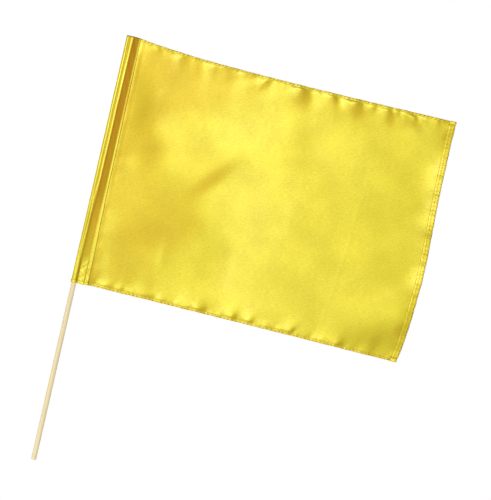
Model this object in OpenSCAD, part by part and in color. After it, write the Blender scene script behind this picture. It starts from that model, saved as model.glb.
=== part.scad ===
// Hand flag: a hemmed satin cloth with a sewn sleeve, carried on a plain wooden stick.
// Z runs up the stick from the centre of its foot, X runs from the stick to the fly edge of the
// cloth, and the face with the sewn-down flap of the sleeve looks along -Y. All sizes in mm.

/* [Stick] */
// Diameter of the wooden stick
stick_d = 6; // [5:0.5:8]
// Length of the wooden stick
stick_len = 500; // [450:5:600]
// Broken edge at both ends of the stick
stick_edge = 0.4; // [0.2:0.1:0.8]

/* [Cloth] */
// Width of the finished cloth, from the centre of the stick to the fly edge
cloth_w = 390; // [320:1:450]
// Height of the finished cloth along the stick
cloth_h = 292; // [220:1:340]
// Thickness of one ply of the cloth
ply = 0.4; // [0.3:0.05:0.5]
// How far the top fly corner hangs below the top of the sleeve
top_droop = 12; // [0:1:20]
// How far the bottom fly corner hangs below the mouth of the sleeve
bottom_droop = 7; // [0:1:20]
// Distance from the stick to the crease at which the fly quarter folds over
crease_x = 298; // [180:1:300]
// Room that each side of the crease leaves for folding
crease_room = 1.2; // [1.2:0.1:3]

/* [Sleeve] */
// Free space between the stick and the cloth around it
stick_play = 0.6; // [0.6:0.1:1.5]
// Distance from the stick to where the two plies of the sleeve come together
sleeve_meet_x = 10.2; // [10.2:0.8:11]
// Distance from the stick to the turned edge of the front ply
sleeve_edge_x = 14.6; // [14.2:0.2:16]
// Distance from the turned edge of the sleeve to its line of stitches
sleeve_stitch = 2.2; // [1:0.1:2.4]
// Depth of the closing fold over the top of the sleeve
top_fold = 0.8; // [0.6:0.1:1.5]
// Thickness of the cloth tucked in between the tip of the stick and the closing fold
tuck_t = 0.9; // [0.5:0.1:1.5]
// Height of the hem around the mouth of the sleeve
mouth_hem_h = 5; // [3:0.5:8]

/* [Hems and stitching] */
// Width of the top and bottom hems
hem_w = 3.4; // [3:0.2:8]
// Width of the hem along the fly edge
fly_hem_w = 8; // [5:0.5:10]
// Distance from the top and bottom edges to their lines of stitches
hem_stitch = 1.8; // [1:0.1:2.6]
// Distance from the fly edge to its line of stitches
fly_stitch = 4.6; // [2:0.1:4.8]
// Diameter of the sewing thread
thread_d = 0.3; // [0.2:0.05:0.35]

/* [Hidden] */
$fn = 64;

cloth_colour = [0.94, 0.84, 0.22];
turned_colour = [0.90, 0.77, 0.16];
thread_colour = [0.86, 0.70, 0.12];
wood_colour = [0.93, 0.87, 0.70];

// Faces of the plies. The panel and the back ply of the sleeve are one flat layer just behind
// Y = 0; everything turned over lies in front of it, two plies deep.
back_face = ply;
front_face = -2 * ply;

// The sleeve around the stick.
pocket_r = stick_d / 2 + stick_play;
sleeve_r = pocket_r + ply;
tuck_gap = 0.3;
tuck_r = pocket_r - tuck_gap;
sleeve_top = stick_len + tuck_t + tuck_gap;
cloth_top = sleeve_top + top_fold;
mouth_z = cloth_top - cloth_h;
sleeve_stitch_x = sleeve_edge_x - sleeve_stitch;
turned_w = sleeve_edge_x - sleeve_meet_x;

// The hems start clear of the rounded fold at the sleeve's turned edge.
hem_start = sleeve_edge_x + ply;

// The crease: each part of the cloth stops short of it, and the threads a little further off.
hoist_end = crease_x - crease_room;
fly_start = crease_x + crease_room;
thread_room = 3;

// The top and bottom threads stop this far short of the fly edge.
thread_stop = 1;

// Height of the top and bottom edges of the panel at a distance x from the stick.
function run(x) = (x - sleeve_edge_x) / (cloth_w - sleeve_edge_x);
function top_at(x) = cloth_top - top_droop * run(x);
function bottom_at(x) = mouth_z - bottom_droop * run(x);

// Direction from the stick's centre to the point where a line through p touches a circle of
// radius r; side is 1 for the back of the circle and -1 for its front.
function touch_angle(p, r, side) = atan2(p[1], p[0]) + side * acos(r / norm(p));

// Points where the plies of the sleeve come together, and the directions in which the plies
// leave the circle around the stick.
back_meet = [sleeve_meet_x, 0];
front_meet = [sleeve_meet_x, -ply];
back_turn = touch_angle(back_meet, pocket_r, 1);
front_turn = touch_angle(front_meet, pocket_r, -1);

function on_circle(r, angle) = [r * cos(angle), r * sin(angle)];

// X of the point at height y on the line that touches the circle of radius r at angle.
function line_x(r, angle, y) = (r - y * sin(angle)) / cos(angle);

// One ply of the sleeve: from the circle around the stick down to the seam, then flat to x_end.
module sleeve_ply(meet, angle, side, x_end) {
    flat_y = meet[1] + side * ply;
    polygon([on_circle(pocket_r, angle), meet, [x_end, meet[1]], [x_end, flat_y],
             [line_x(sleeve_r, angle, flat_y), flat_y], on_circle(sleeve_r, angle)]);
}

// Solid outline of the sleeve, seen along the stick, grown outwards by extra.
module sleeve_outline(extra) {
    r = sleeve_r + extra;
    back_y = back_face + extra;
    front_y = front_face - extra;
    circle(r);
    polygon([[0, 0], on_circle(r, front_turn), [line_x(r, front_turn, front_y), front_y],
             [sleeve_edge_x, front_y], [sleeve_edge_x, back_y],
             [line_x(r, back_turn, back_y), back_y], on_circle(r, back_turn)]);
}

// Everything between the two plies where they leave the circle, on the side of the seam.
module seam_side() {
    far = 3 * sleeve_r;
    polygon([[0, 0], on_circle(far, front_turn), [far, -far], [far, far], on_circle(far, back_turn)]);
}

// Flat layer of cloth: an outline drawn in X and Z, from y_front to y_back.
module layer(y_front, y_back) {
    translate([0, y_back, 0])
        rotate([90, 0, 0])
            linear_extrude(y_back - y_front)
                children();
}

// Strips of the hem's width along the top and bottom edges of the panel, between x0 and x1.
module top_strip(x0, x1) {
    polygon([[x0, top_at(x0) - hem_w], [x1, top_at(x1) - hem_w], [x1, top_at(x1)], [x0, top_at(x0)]]);
}

module bottom_strip(x0, x1) {
    polygon([[x0, bottom_at(x0)], [x1, bottom_at(x1)],
             [x1, bottom_at(x1) + hem_w], [x0, bottom_at(x0) + hem_w]]);
}

// Panel of single cloth between x0 and x1.
module panel(x0, x1) {
    layer(0, back_face)
        polygon([[x0, bottom_at(x0)], [x1, bottom_at(x1)], [x1, top_at(x1)], [x0, top_at(x0)]]);
}

// Straight run of thread from one point to another, each given as [x, z].
module thread_run(from, to, y) {
    reach = to - from;
    translate([from[0], y, from[1]])
        rotate([0, atan2(reach[0], reach[1]), 0])
            cylinder(d = thread_d, h = norm(reach));
}

// Both threads of a seam: the needle thread on its front face and the bobbin thread on its back.
module seam_threads(from, to) {
    thread_run(from, to, front_face - thread_d / 2);
    thread_run(from, to, back_face + thread_d / 2);
}

module stick() {
    color(wood_colour)
        rotate_extrude()
            polygon([[0, 0], [stick_d / 2 - stick_edge, 0], [stick_d / 2, stick_edge],
                     [stick_d / 2, stick_len - stick_edge], [stick_d / 2 - stick_edge, stick_len],
                     [0, stick_len]]);
}

// Cloth bunched inside the closed end of the sleeve; it bears on the tip of the stick.
module sleeve_end_tuck() {
    color(turned_colour)
        translate([0, 0, stick_len])
            cylinder(r = tuck_r, h = tuck_t);
}

module sleeve_fold() {
    color(cloth_colour)
        translate([0, 0, mouth_z])
            linear_extrude(sleeve_top - mouth_z)
                difference() {
                    circle(sleeve_r);
                    circle(pocket_r);
                    seam_side();
                }
}

module sleeve_front_ply() {
    color(cloth_colour)
        translate([0, 0, mouth_z])
            linear_extrude(sleeve_top - mouth_z)
                sleeve_ply(front_meet, front_turn, -1, sleeve_edge_x);
}

module sleeve_back_ply() {
    color(cloth_colour)
        translate([0, 0, mouth_z])
            linear_extrude(sleeve_top - mouth_z)
                sleeve_ply(back_meet, back_turn, 1, sleeve_edge_x);
}

// Seam allowance turned under the front ply, with the rounded fold at its edge.
module sleeve_turned_edge() {
    color(turned_colour)
        translate([0, 0, mouth_z])
            linear_extrude(sleeve_top - mouth_z) {
                translate([sleeve_meet_x, -ply])
                    square([turned_w, ply]);
                intersection() {
                    translate([sleeve_edge_x, -ply])
                        circle(ply);
                    translate([sleeve_edge_x, -2 * ply])
                        square([ply, 2 * ply]);
                }
            }
}

// Cloth folded over and sewn down across the top of the sleeve, so that the stick stays in.
module sleeve_top_fold() {
    color(cloth_colour)
        translate([0, 0, sleeve_top])
            linear_extrude(top_fold)
                sleeve_outline(0);
}

// Two turned plies around the mouth of the sleeve.
module sleeve_mouth_hem() {
    color(turned_colour)
        translate([0, 0, mouth_z])
            linear_extrude(mouth_hem_h)
                difference() {
                    sleeve_outline(2 * ply);
                    sleeve_outline(0);
                }
}

module sleeve_needle_thread() {
    color(thread_colour)
        thread_run([sleeve_stitch_x, mouth_z + mouth_hem_h], [sleeve_stitch_x, sleeve_top],
                   front_face - thread_d / 2);
}

module sleeve_bobbin_thread() {
    color(thread_colour)
        thread_run([sleeve_stitch_x, mouth_z + mouth_hem_h], [sleeve_stitch_x, sleeve_top],
                   back_face + thread_d / 2);
}

module hoist_panel() {
    color(cloth_colour)
        panel(sleeve_edge_x, hoist_end);
}

module fly_panel() {
    color(cloth_colour)
        panel(fly_start, cloth_w);
}

module top_hem(x0, x1) {
    color(turned_colour)
        layer(front_face, 0)
            top_strip(x0, x1);
}

module bottom_hem(x0, x1) {
    color(turned_colour)
        layer(front_face, 0)
            bottom_strip(x0, x1);
}

module top_hem_hoist() {
    top_hem(hem_start, hoist_end);
}

module top_hem_fly() {
    top_hem(fly_start, cloth_w);
}

module bottom_hem_hoist() {
    bottom_hem(hem_start, hoist_end);
}

module bottom_hem_fly() {
    bottom_hem(fly_start, cloth_w);
}

// The fly hem runs between the top and bottom hems.
module fly_end_hem() {
    x0 = cloth_w - fly_hem_w;
    color(turned_colour)
        layer(front_face, 0)
            polygon([[x0, bottom_at(x0) + hem_w], [cloth_w, bottom_at(cloth_w) + hem_w],
                     [cloth_w, top_at(cloth_w) - hem_w], [x0, top_at(x0) - hem_w]]);
}

module top_thread(x0, x1) {
    color(thread_colour)
        seam_threads([x0, top_at(x0) - hem_stitch], [x1, top_at(x1) - hem_stitch]);
}

module bottom_thread(x0, x1) {
    color(thread_colour)
        seam_threads([x0, bottom_at(x0) + hem_stitch], [x1, bottom_at(x1) + hem_stitch]);
}

module top_thread_hoist() {
    top_thread(hem_start, crease_x - thread_room);
}

module top_thread_fly() {
    top_thread(crease_x + thread_room, cloth_w - thread_stop);
}

module bottom_thread_hoist() {
    bottom_thread(hem_start, crease_x - thread_room);
}

module bottom_thread_fly() {
    bottom_thread(crease_x + thread_room, cloth_w - thread_stop);
}

module fly_end_thread() {
    x = cloth_w - fly_stitch;
    color(thread_colour)
        seam_threads([x, bottom_at(x) + hem_w], [x, top_at(x) - hem_w]);
}

stick();
sleeve_end_tuck();
sleeve_fold();
sleeve_front_ply();
sleeve_back_ply();
sleeve_turned_edge();
sleeve_top_fold();
sleeve_mouth_hem();
sleeve_needle_thread();
sleeve_bobbin_thread();
hoist_panel();
fly_panel();
top_hem_hoist();
top_hem_fly();
bottom_hem_hoist();
bottom_hem_fly();
fly_end_hem();
top_thread_hoist();
top_thread_fly();
bottom_thread_hoist();
bottom_thread_fly();
fly_end_thread();
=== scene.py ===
"""Hand flag: a hemmed yellow satin cloth with a sewn sleeve, carried on a thin birch stick.

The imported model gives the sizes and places. This script dresses it: the cloth with its hems,
puckers and sleeve, the stitches of every seam, the stick, and a plain photo studio.
Lengths inside the classes are in millimetres, in the part's own frame: +Z up the stick, +X towards
the fly edge, -Y towards the face with the sewn-down flap. Meshes are written in metres.
"""

import logging
import math
from dataclasses import dataclass
from enum import Enum
from functools import cached_property
from typing import Callable, Sequence

import bmesh
import bpy
import numpy as np
from mathutils import Matrix, Vector


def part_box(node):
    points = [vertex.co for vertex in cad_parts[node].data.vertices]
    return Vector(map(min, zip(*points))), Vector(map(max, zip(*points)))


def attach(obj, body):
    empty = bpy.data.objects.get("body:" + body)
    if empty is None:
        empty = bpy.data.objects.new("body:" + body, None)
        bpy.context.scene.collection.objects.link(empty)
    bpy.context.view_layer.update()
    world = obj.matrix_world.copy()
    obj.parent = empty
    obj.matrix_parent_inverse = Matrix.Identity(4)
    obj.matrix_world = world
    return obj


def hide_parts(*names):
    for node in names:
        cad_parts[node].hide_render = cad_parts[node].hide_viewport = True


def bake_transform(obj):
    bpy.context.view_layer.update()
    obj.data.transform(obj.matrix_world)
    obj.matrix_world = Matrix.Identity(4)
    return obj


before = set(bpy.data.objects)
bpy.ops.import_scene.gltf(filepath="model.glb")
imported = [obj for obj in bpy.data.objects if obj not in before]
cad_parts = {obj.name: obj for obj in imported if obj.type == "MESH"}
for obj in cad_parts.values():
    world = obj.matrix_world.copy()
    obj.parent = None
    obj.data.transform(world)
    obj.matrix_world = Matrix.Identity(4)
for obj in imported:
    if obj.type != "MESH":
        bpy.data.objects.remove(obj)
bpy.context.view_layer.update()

LOG = logging.getLogger("hand_flag")
MM = 0.001
# Across and up: the way the cloth leans when it faces the key light, up and to the left.
UPHILL = (-0.763, 0.646)
# Distance from the stick's axis to where the single ply of the panel starts, under the flap.
UNDER_FLAP = 11.6

Array = np.ndarray
Material = bpy.types.Material
Piece = bpy.types.Object
Socket = bpy.types.NodeSocket
Tree = bpy.types.NodeTree


# --------------------------------------------------------------------------------------------
# Small helpers
# --------------------------------------------------------------------------------------------


def linear(hex_colour: str) -> tuple[float, float, float, float]:
    """Turn an sRGB hex colour into linear RGBA.

    Args:
        hex_colour: six hex digits, such as "f0da3e".

    Returns:
        The linear colour with an alpha of 1.
    """
    channels = [int(hex_colour[i : i + 2], 16) / 255 for i in (0, 2, 4)]
    rgb = [c / 12.92 if c <= 0.04045 else ((c + 0.055) / 1.055) ** 2.4 for c in channels]
    return (rgb[0], rgb[1], rgb[2], 1.0)


def smooth(t: Array | float) -> Array | float:
    """Ease from 0 to 1 as t goes from 0 to 1."""
    t = np.clip(t, 0.0, 1.0)
    return t * t * (3 - 2 * t)


def set_inputs(tree: Tree, node: bpy.types.Node, **inputs) -> None:
    """Set a node's inputs.

    Args:
        tree: the tree that holds the node.
        node: the node.
        inputs: for each input, by name with spaces as underscores or by i and its number, the
            value it holds or the socket that feeds it.
    """
    for key, value in inputs.items():
        is_number = key[0] == "i" and key[1:].isdigit()
        socket = node.inputs[int(key[1:])] if is_number else node.inputs[key.replace("_", " ")]
        if isinstance(value, Socket):
            tree.links.new(value, socket)
        else:
            socket.default_value = value


def add_node(
    tree: Tree, kind: str, settings: dict | None = None, output: str | None = None, **inputs
) -> Socket:
    """Add a node with its settings and its inputs.

    Args:
        tree: the shader or geometry node tree.
        kind: the node's type name.
        settings: attributes of the node itself, such as its mode.
        output: the name of the output that is wanted; none for the first one in use.
        inputs: as for set_inputs.

    Returns:
        That output of the new node; none where it has no output.
    """
    node = tree.nodes.new(kind)
    for key, value in (settings or {}).items():
        setattr(node, key, value)
    set_inputs(tree, node, **inputs)
    return next((o for o in node.outputs if (o.name == output if output else o.enabled)), None)


def maths(tree: Tree, operation: str, *values: Socket | float) -> Socket:
    """Add a maths node that does one operation on the values."""
    inputs = {f"i{number}": value for number, value in enumerate(values)}
    return add_node(tree, "ShaderNodeMath", {"operation": operation}, **inputs)


def noise(tree: Tree, place: Socket, scale: Sequence[float] | float, detail: float) -> Socket:
    """Add a noise of a scale per metre, the same every way or one for each axis."""
    if isinstance(scale, float):
        return add_node(tree, "ShaderNodeTexNoise", Vector=place, Scale=scale, Detail=detail)
    scaled = add_node(tree, "ShaderNodeMapping", Vector=place, Scale=scale)
    return add_node(tree, "ShaderNodeTexNoise", Vector=scaled, Scale=1.0, Detail=detail)


def spread(tree: Tree, value: Socket, given: tuple[float, float], wanted: tuple[float, float]) -> Socket:
    """Carry a value over from a given range to the wanted one."""
    ends = {"From_Min": given[0], "From_Max": given[1], "To_Min": wanted[0], "To_Max": wanted[1]}
    return add_node(tree, "ShaderNodeMapRange", Value=value, **ends)


def mixed_colour(tree: Tree, share: Socket, first: Socket | str, second: str) -> Socket:
    """Mix two colours, each given as sRGB hex or a socket, by the share of the second."""
    start = first if isinstance(first, Socket) else linear(first)
    return add_node(tree, "ShaderNodeMix", {"data_type": "RGBA"}, i0=share, i6=start, i7=linear(second))


def new_material(name: str) -> tuple[Material, Tree, bpy.types.Node]:
    """Make a material and return it with its tree and its shader."""
    material = bpy.data.materials.new(name)
    material.use_nodes = True
    return material, material.node_tree, material.node_tree.nodes["Principled BSDF"]


def new_tree(name: str, **inputs: str) -> tuple[Tree, bpy.types.NodeOutputs]:
    """Start a geometry node tree that gives out geometry.

    Args:
        name: the tree's name.
        inputs: for each input, by name with spaces as underscores, its kind, such as Float.

    Returns:
        The tree and the sockets of its inputs.
    """
    tree = bpy.data.node_groups.new(name, "GeometryNodeTree")
    for key, kind in inputs.items():
        tree.interface.new_socket(key.replace("_", " "), in_out="INPUT", socket_type="NodeSocket" + kind)
    tree.interface.new_socket("Geometry", in_out="OUTPUT", socket_type="NodeSocketGeometry")
    return tree, tree.nodes.new("NodeGroupInput").outputs


def link_mesh(name: str, mesh: bpy.types.Mesh) -> Piece:
    """Put a mesh into the scene as a piece."""
    piece = bpy.data.objects.new(name, mesh)
    bpy.context.scene.collection.objects.link(piece)
    return piece


def box_mm(node: str) -> tuple[Array, Array]:
    """Lowest and highest corner of a CAD node, in millimetres."""
    low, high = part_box(node)
    return np.array(low) / MM, np.array(high) / MM


# --------------------------------------------------------------------------------------------
# Meshes from grids of points
# --------------------------------------------------------------------------------------------


def new_object(
    name: str, points: Array, faces: Sequence[Sequence[int]], uv: Array, shade: Array | None = None
) -> Piece:
    """Make a smooth-shaded mesh object from points in millimetres.

    Args:
        name: the piece's name.
        points: array of n by 3.
        faces: corner numbers of each face.
        uv: array of n by 2, the flat cloth coordinates of each point in metres.
        shade: how much painted shade each point gets, from 0 to 1; none for 0 everywhere.

    Returns:
        The linked object, with its faces pointing outwards.
    """
    mesh = bpy.data.meshes.new(name)
    mesh.from_pydata((points * MM).tolist(), [], [list(map(int, f)) for f in faces])
    layer = mesh.uv_layers.new(name="cloth")
    corners = np.zeros(len(mesh.loops), dtype=np.int32)
    mesh.loops.foreach_get("vertex_index", corners)
    layer.data.foreach_set("uv", uv[corners].astype(np.float32).ravel())
    # Painted shade: how much each point gets is kept as a point attribute for the material.
    depth = np.zeros(len(points)) if shade is None else shade
    attribute = mesh.attributes.new("shade", "FLOAT", "POINT")
    attribute.data.foreach_set("value", depth.astype(np.float32).ravel())
    bm = bmesh.new()
    bm.from_mesh(mesh)
    bmesh.ops.recalc_face_normals(bm, faces=bm.faces)
    bm.to_mesh(mesh)
    bm.free()
    mesh.shade_smooth()
    return link_mesh(name, mesh)


def quads(rows: int, cols: int, wrap: bool = False) -> Array:
    """Corner numbers of the faces of a grid of points, row by row."""
    r, c = np.meshgrid(np.arange(rows - 1), np.arange(cols if wrap else cols - 1), indexing="ij")
    d = (c + 1) % cols
    return np.stack([r * cols + c, r * cols + d, (r + 1) * cols + d, (r + 1) * cols + c], -1).reshape(-1, 4)


def thick_sheet(name: str, front: Array, back: Array, uv: Array, shade: Array) -> Piece:
    """Close two grids of points into one sheet with a rim.

    Args:
        name: the piece's name.
        front: rows by cols by 3 points of the front face.
        back: the same for the back face.
        uv: rows by cols by 2 flat cloth coordinates.
        shade: rows by cols, how much painted shade each point gets.

    Returns:
        The sheet as a closed mesh.
    """
    rows, cols = front.shape[:2]
    count = rows * cols
    face_grid = quads(rows, cols)
    index = np.arange(count).reshape(rows, cols)
    rim = np.concatenate([index[0, :-1], index[:-1, -1], index[-1, :0:-1], index[:0:-1, 0]])
    nxt = np.roll(rim, -1)
    rim_faces = np.stack([rim, nxt, nxt + count, rim + count], -1)
    faces = np.concatenate([face_grid, face_grid[:, ::-1] + count, rim_faces])
    points = np.concatenate([front.reshape(-1, 3), back.reshape(-1, 3)])
    depth = np.concatenate([shade.ravel(), np.zeros(count)])
    return new_object(name, points, faces, np.concatenate([uv.reshape(-1, 2)] * 2), depth)


def swept_solid(name: str, rings: Array, uv: Array, shade: Array | None = None) -> Piece:
    """Close a row of rings into one solid with capped ends.

    Args:
        name: the piece's name.
        rings: rows by cols by 3 points, each row a closed ring.
        uv: rows by cols by 2 flat cloth coordinates.
        shade: rows by cols, how much painted shade each point gets; none for 0 everywhere.

    Returns:
        The solid as a closed mesh.
    """
    rows, cols = rings.shape[:2]
    faces = [list(f) for f in quads(rows, cols, wrap=True)]
    faces.append(list(range(cols)))
    faces.append(list(range((rows - 1) * cols, rows * cols)))
    return new_object(name, rings.reshape(-1, 3), faces, uv.reshape(-1, 2), shade)


def offset_both_ways(line: Array, half: float) -> tuple[Array, Array]:
    """Move a grid of points by half a thickness along its own normals, both ways.

    Args:
        line: rows by cols by 3 points.
        half: half of the thickness.

    Returns:
        The two moved grids.
    """
    du = np.gradient(line, axis=1)
    dv = np.gradient(line, axis=0)
    normal = np.cross(du, dv)
    normal /= np.maximum(np.linalg.norm(normal, axis=2, keepdims=True), 1e-9)
    return line + normal * half, line - normal * half


def spline(points: Array, samples: int) -> Array:
    """Pass a smooth curve through points.

    Args:
        points: n by any number of coordinates.
        samples: how many points to return.

    Returns:
        Points spaced evenly along the curve through the given ones.
    """
    padded = np.concatenate([2 * points[:1] - points[1:2], points, 2 * points[-1:] - points[-2:-1]])
    t = np.linspace(0, 1, 24, endpoint=False)[:, None]
    parts = []
    for a, b, c, d in zip(padded[:-3], padded[1:-2], padded[2:-1], padded[3:]):
        parts.append(
            0.5 * (2 * b + (c - a) * t + (2 * a - 5 * b + 4 * c - d) * t**2 + (3 * b - a - 3 * c + d) * t**3)
        )
    dense = np.concatenate([*parts, points[-1:]])
    along = np.concatenate([[0], np.cumsum(np.linalg.norm(np.diff(dense, axis=0), axis=1))])
    wanted = np.linspace(0, along[-1], samples)
    return np.stack([np.interp(wanted, along, dense[:, k]) for k in range(dense.shape[1])], -1)


# --------------------------------------------------------------------------------------------
# Finishes
# --------------------------------------------------------------------------------------------


@dataclass(frozen=True)
class Satin:
    """Polyester satin: long bright floats over a deep golden ground, so it has a wide soft gloss."""

    name: str = "polyester_satin"
    ground: str = "cfbd10"
    light: str = "e3d42c"
    gloss: str = "fff5a8"
    # The colour painted in as shade, deep in folds and on slopes turned from the key light.
    painted_shade_amber: str = "c8810f"
    roughness: float = 0.48
    uneven_gloss: float = 0.05
    metal: float = 0.5
    coat: float = 0.3

    def build(self) -> Material:
        """Make the woven satin material."""
        material, tree, shader = new_material(self.name)
        place = add_node(tree, "ShaderNodeUVMap", {"uv_map": "cloth"})
        # Floats are about 0.1 mm wide and 1 mm long; drawn at 1 mm by 4.5 mm so that they show.
        floats = noise(tree, place, (220, 900, 1), 2.0)
        cloud = noise(tree, place, 28.0, 3.0)
        fleck = noise(tree, place, 1100.0, 1.0)
        weave = maths(tree, "MULTIPLY_ADD", floats, 0.4, maths(tree, "MULTIPLY", cloud, 0.35))
        weave = maths(tree, "MULTIPLY_ADD", fleck, 0.75, weave)
        colour = mixed_colour(tree, spread(tree, weave, (0.62, 0.88), (0.0, 1.0)), self.ground, self.light)
        rough = (self.roughness + self.uneven_gloss, self.roughness - self.uneven_gloss)
        # Painted shade: where the point's shade attribute is set, the colour is painted amber and the coat
        # taken off, standing in for the shade and the light bounced off the cloth deep in folds.
        depth = add_node(tree, "ShaderNodeAttribute", {"attribute_name": "shade"}, output="Fac")
        set_inputs(
            tree,
            shader,
            Base_Color=mixed_colour(tree, depth, colour, self.painted_shade_amber),
            Coat_Weight=spread(tree, depth, (0.0, 1.0), (self.coat, 0.0)),
            Roughness=spread(tree, weave, (0.58, 0.92), rough),
            Normal=add_node(tree, "ShaderNodeBump", Strength=0.26, Distance=0.0004, Height=weave),
            Tangent=add_node(tree, "ShaderNodeTangent", {"direction_type": "UV_MAP", "uv_map": "cloth"}),
            Metallic=self.metal,
            Specular_IOR_Level=0.7,
            Specular_Tint=linear(self.gloss),
            Anisotropic=0.4,
            Coat_Roughness=0.34,
            Coat_IOR=1.8,
            Sheen_Weight=0.08,
            Sheen_Roughness=0.4,
        )
        return material


@dataclass(frozen=True)
class SpunThread:
    """Spun polyester sewing thread: two plies twisted, matt with a faint lustre."""

    name: str = "polyester_thread"
    colour: str = "f6dc52"
    dark: str = "d8ae28"

    def build(self) -> Material:
        """Make the twisted thread material."""
        material, tree, shader = new_material(self.name)
        place = add_node(tree, "ShaderNodeTexCoord", output="Object")
        # The plies turn once in about 1 mm; drawn at 4 mm so that the twist shows.
        bands = {"bands_direction": "DIAGONAL"}
        twist = add_node(
            tree, "ShaderNodeTexWave", bands, "Fac", Vector=place, Scale=160.0, Distortion=1.0
        )
        set_inputs(
            tree,
            shader,
            Base_Color=mixed_colour(tree, twist, self.dark, self.colour),
            Normal=add_node(tree, "ShaderNodeBump", Strength=0.3, Distance=0.0001, Height=twist),
            Roughness=0.55,
        )
        return material


@dataclass(frozen=True)
class SandedBirch:
    """Sanded birch dowel, unvarnished: pale cream with long fine pores and a few darker streaks."""

    name: str = "sanded_birch"
    pale: str = "faedc4"
    mid: str = "eed8a2"
    pore: str = "b08d55"

    def build(self) -> Material:
        """Make the wood material, its grain running up the stick."""
        material, tree, shader = new_material(self.name)
        place = add_node(tree, "ShaderNodeTexCoord", output="Object")
        # Growth rings a few millimetres apart, cut at a slant, and pores 0.4 mm wide and 17 mm long.
        rings = noise(tree, place, (420, 420, 9), 4.0)
        pores = noise(tree, place, (2400, 2400, 60), 2.0)
        pore_share = spread(tree, pores, (0.56, 0.75), (0.0, 0.5))
        wood = mixed_colour(tree, rings, self.pale, self.mid)
        set_inputs(
            tree,
            shader,
            Base_Color=mixed_colour(tree, pore_share, wood, self.pore),
            Normal=add_node(tree, "ShaderNodeBump", Strength=0.25, Distance=0.0002, Height=pores),
            Roughness=0.6,
        )
        return material


@dataclass(frozen=True)
class StudioPaper:
    """Matt white background paper, evenly lit from below so that it stays pale to its edge."""

    name: str = "studio_paper"
    colour: str = "f4f4f2"
    glow: float = 0.55

    def build(self) -> Material:
        """Make the floor material."""
        material, tree, shader = new_material(self.name)
        white = linear(self.colour)
        set_inputs(
            tree, shader, Base_Color=white, Roughness=0.9, Emission_Color=white, Emission_Strength=self.glow
        )
        return material


# --------------------------------------------------------------------------------------------
# The lie of the cloth
# --------------------------------------------------------------------------------------------


@dataclass(frozen=True)
class Lean:
    """A patch of cloth that leans up and to the left, or the other way where degrees is negative.

    The patch is an ellipse, long by wide, turned anticlockwise from level.
    """

    x: float
    z: float
    long: float
    wide: float
    turn: float
    degrees: float

    def slope(self, x: Array, z: Array) -> Array:
        """Slope wanted at each point, fading out round the patch."""
        c, s = math.cos(math.radians(self.turn)), math.sin(math.radians(self.turn))
        dx, dz = x - self.x, z - self.z
        a, b = (dx * c + dz * s) / self.long, (dz * c - dx * s) / self.wide
        return math.tan(math.radians(self.degrees)) * np.exp(-a * a - b * b)


@dataclass
class Drape:
    """The smoothest surface that leans up and to the left as much as its patches ask for.

    It is solved on a square grid of cells, a step apart, from a corner below and left of the cloth.
    Smoothness is the price of leaning any other way, and flattening pulls wide swells to nothing.
    """

    leans: tuple[Lean, ...]
    step: float = 1.25
    cells: int = 512
    corner: tuple[float, float] = (-120.0, 40.0)
    smoothness: float = 0.15
    flattening: float = 0.003

    def __post_init__(self) -> None:
        """Solve for the heights on a square grid of cells."""
        steps = np.arange(self.cells) * self.step
        x, z = np.meshgrid(steps + self.corner[0], steps + self.corner[1])
        wanted = np.fft.fft2(sum((w.slope(x, z) for w in self.leans), np.zeros_like(x)))
        wave = 2 * np.pi * np.fft.fftfreq(self.cells, self.step)
        kx, kz = np.meshgrid(wave, wave)
        along = kx * UPHILL[0] + kz * UPHILL[1]
        across = kz * UPHILL[0] - kx * UPHILL[1]
        cost = along**2 + self.smoothness * across**2 + self.flattening**2
        # A round patch keeps this share of the slope that it asks for.
        kept = 1 / (1 + math.sqrt(self.smoothness))
        self.heights = np.real(np.fft.ifft2(1j * along * wanted / cost)) / kept

    def height(self, x: Array, z: Array) -> Array:
        """Height at any point, by cubic interpolation between the cells."""
        u = np.clip((x - self.corner[0]) / self.step, 2, self.cells - 4)
        v = np.clip((z - self.corner[1]) / self.step, 2, self.cells - 4)
        i, j = np.floor(u).astype(int), np.floor(v).astype(int)
        total = np.zeros(np.broadcast(u, v).shape)
        for row, down in enumerate(self.weights(v - j)):
            for col, side in enumerate(self.weights(u - i)):
                total = total + down * side * self.heights[j + row - 1, i + col - 1]
        return total

    @staticmethod
    def weights(t: Array) -> tuple[Array, Array, Array, Array]:
        """Weights of the four cells around a point that lies a share t between the middle two."""
        return (
            0.5 * (-t + 2 * t**2 - t**3),
            0.5 * (2 - 5 * t**2 + 3 * t**3),
            0.5 * (t + 4 * t**2 - 3 * t**3),
            0.5 * (t**3 - t**2),
        )


@dataclass(frozen=True)
class Pucker:
    """A gather that starts at a hem: it rises softly on its left and falls quickly on its right."""

    at: float
    reach: float
    rise: float
    wide: float
    lean: float = 0.0

    def height(self, along: Array, depth: Array) -> Array:
        """Height of the gather at a place along the hem and a depth into the cloth."""
        inside = np.maximum(depth, 0)
        u = along - self.at - self.lean * inside
        side = np.where(u < 0, self.wide, 0.55 * self.wide) * (1 + inside / self.reach)
        fade = np.exp(-((inside / self.reach) ** 2)) * (0.45 + 0.55 * smooth(inside / 4.0))
        return 1.5 * self.rise * np.exp(-((u / side) ** 2)) * fade


@dataclass(frozen=True)
class Ripple:
    """A smooth random wave along one direction, between -1 and 1."""

    pitch: float
    seed: int

    def value(self, x: Array) -> Array:
        """The wave at each distance x."""
        knots = np.random.default_rng(self.seed).uniform(-1, 1, 1024)
        cell = np.floor(x / self.pitch).astype(int)
        a, b = knots[cell % 1024], knots[(cell + 1) % 1024]
        return a + (b - a) * smooth(x / self.pitch - cell)


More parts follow.
